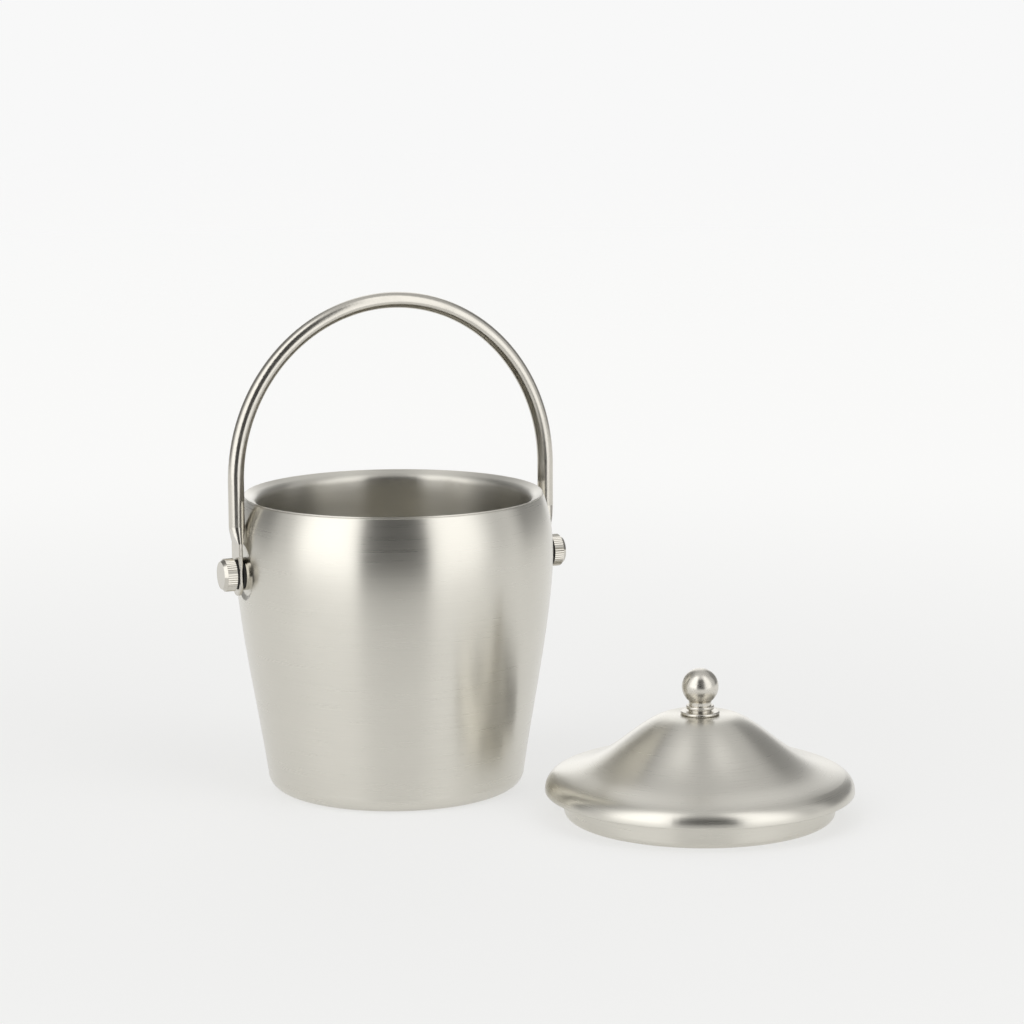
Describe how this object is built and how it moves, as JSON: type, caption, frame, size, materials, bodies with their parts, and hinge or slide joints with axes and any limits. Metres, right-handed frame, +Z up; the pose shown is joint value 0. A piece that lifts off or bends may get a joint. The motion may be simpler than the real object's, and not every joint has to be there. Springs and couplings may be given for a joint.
{
  "type": "ice bucket",
  "caption": "Double-wall stainless ice bucket with a swinging tube handle and a domed lid with a ball knob, the lid lying beside it.",
  "frame": {"origin": "centre of the bucket's base, on the surface it stands on", "axes": "+Z up; the handle pivots about a line along X, through the bucket's axis; the lid lies towards +X and -Y"},
  "size_m": [0.2833, 0.2718, 0.251],
  "materials": {
    "satin_steel": "satin, brushed round the axis",
    "polished_steel": "polished",
    "plain_steel": "as rolled",
    "black_rubber": "matt"
  },
  "bodies": {
    "bucket": {"outer_shell": "satin_steel", "inner_liner": "satin_steel", "backing_plate_left": "plain_steel", "backing_plate_right": "plain_steel", "pivot_stud_left": "plain_steel", "pivot_stud_right": "plain_steel", "pivot_boss_left": "polished_steel", "pivot_boss_right": "polished_steel", "inner_washer_left": "black_rubber", "inner_washer_right": "black_rubber", "outer_washer_left": "black_rubber", "outer_washer_right": "black_rubber", "knurled_nut_left": "polished_steel", "knurled_nut_right": "polished_steel"},
    "handle": {"handle": "polished_steel"},
    "lid": {"lid_dome": "satin_steel", "lid_pan": "satin_steel", "lid_knob": "polished_steel", "knob_screw": "plain_steel", "knob_washer": "plain_steel"}
  },
  "joints": [
    {"name": "handle_swing", "type": "hinge", "parent": "bucket", "child": "handle", "pos_m": [0, 0, 0.1142], "axis": [1, 0, 0], "range_deg": [-145, 145]},
    {"name": "lid_lift", "type": "slide", "parent": "bucket", "child": "lid", "axis": [0, 0, 1], "range_m": [0, 0.26]}
  ]
}
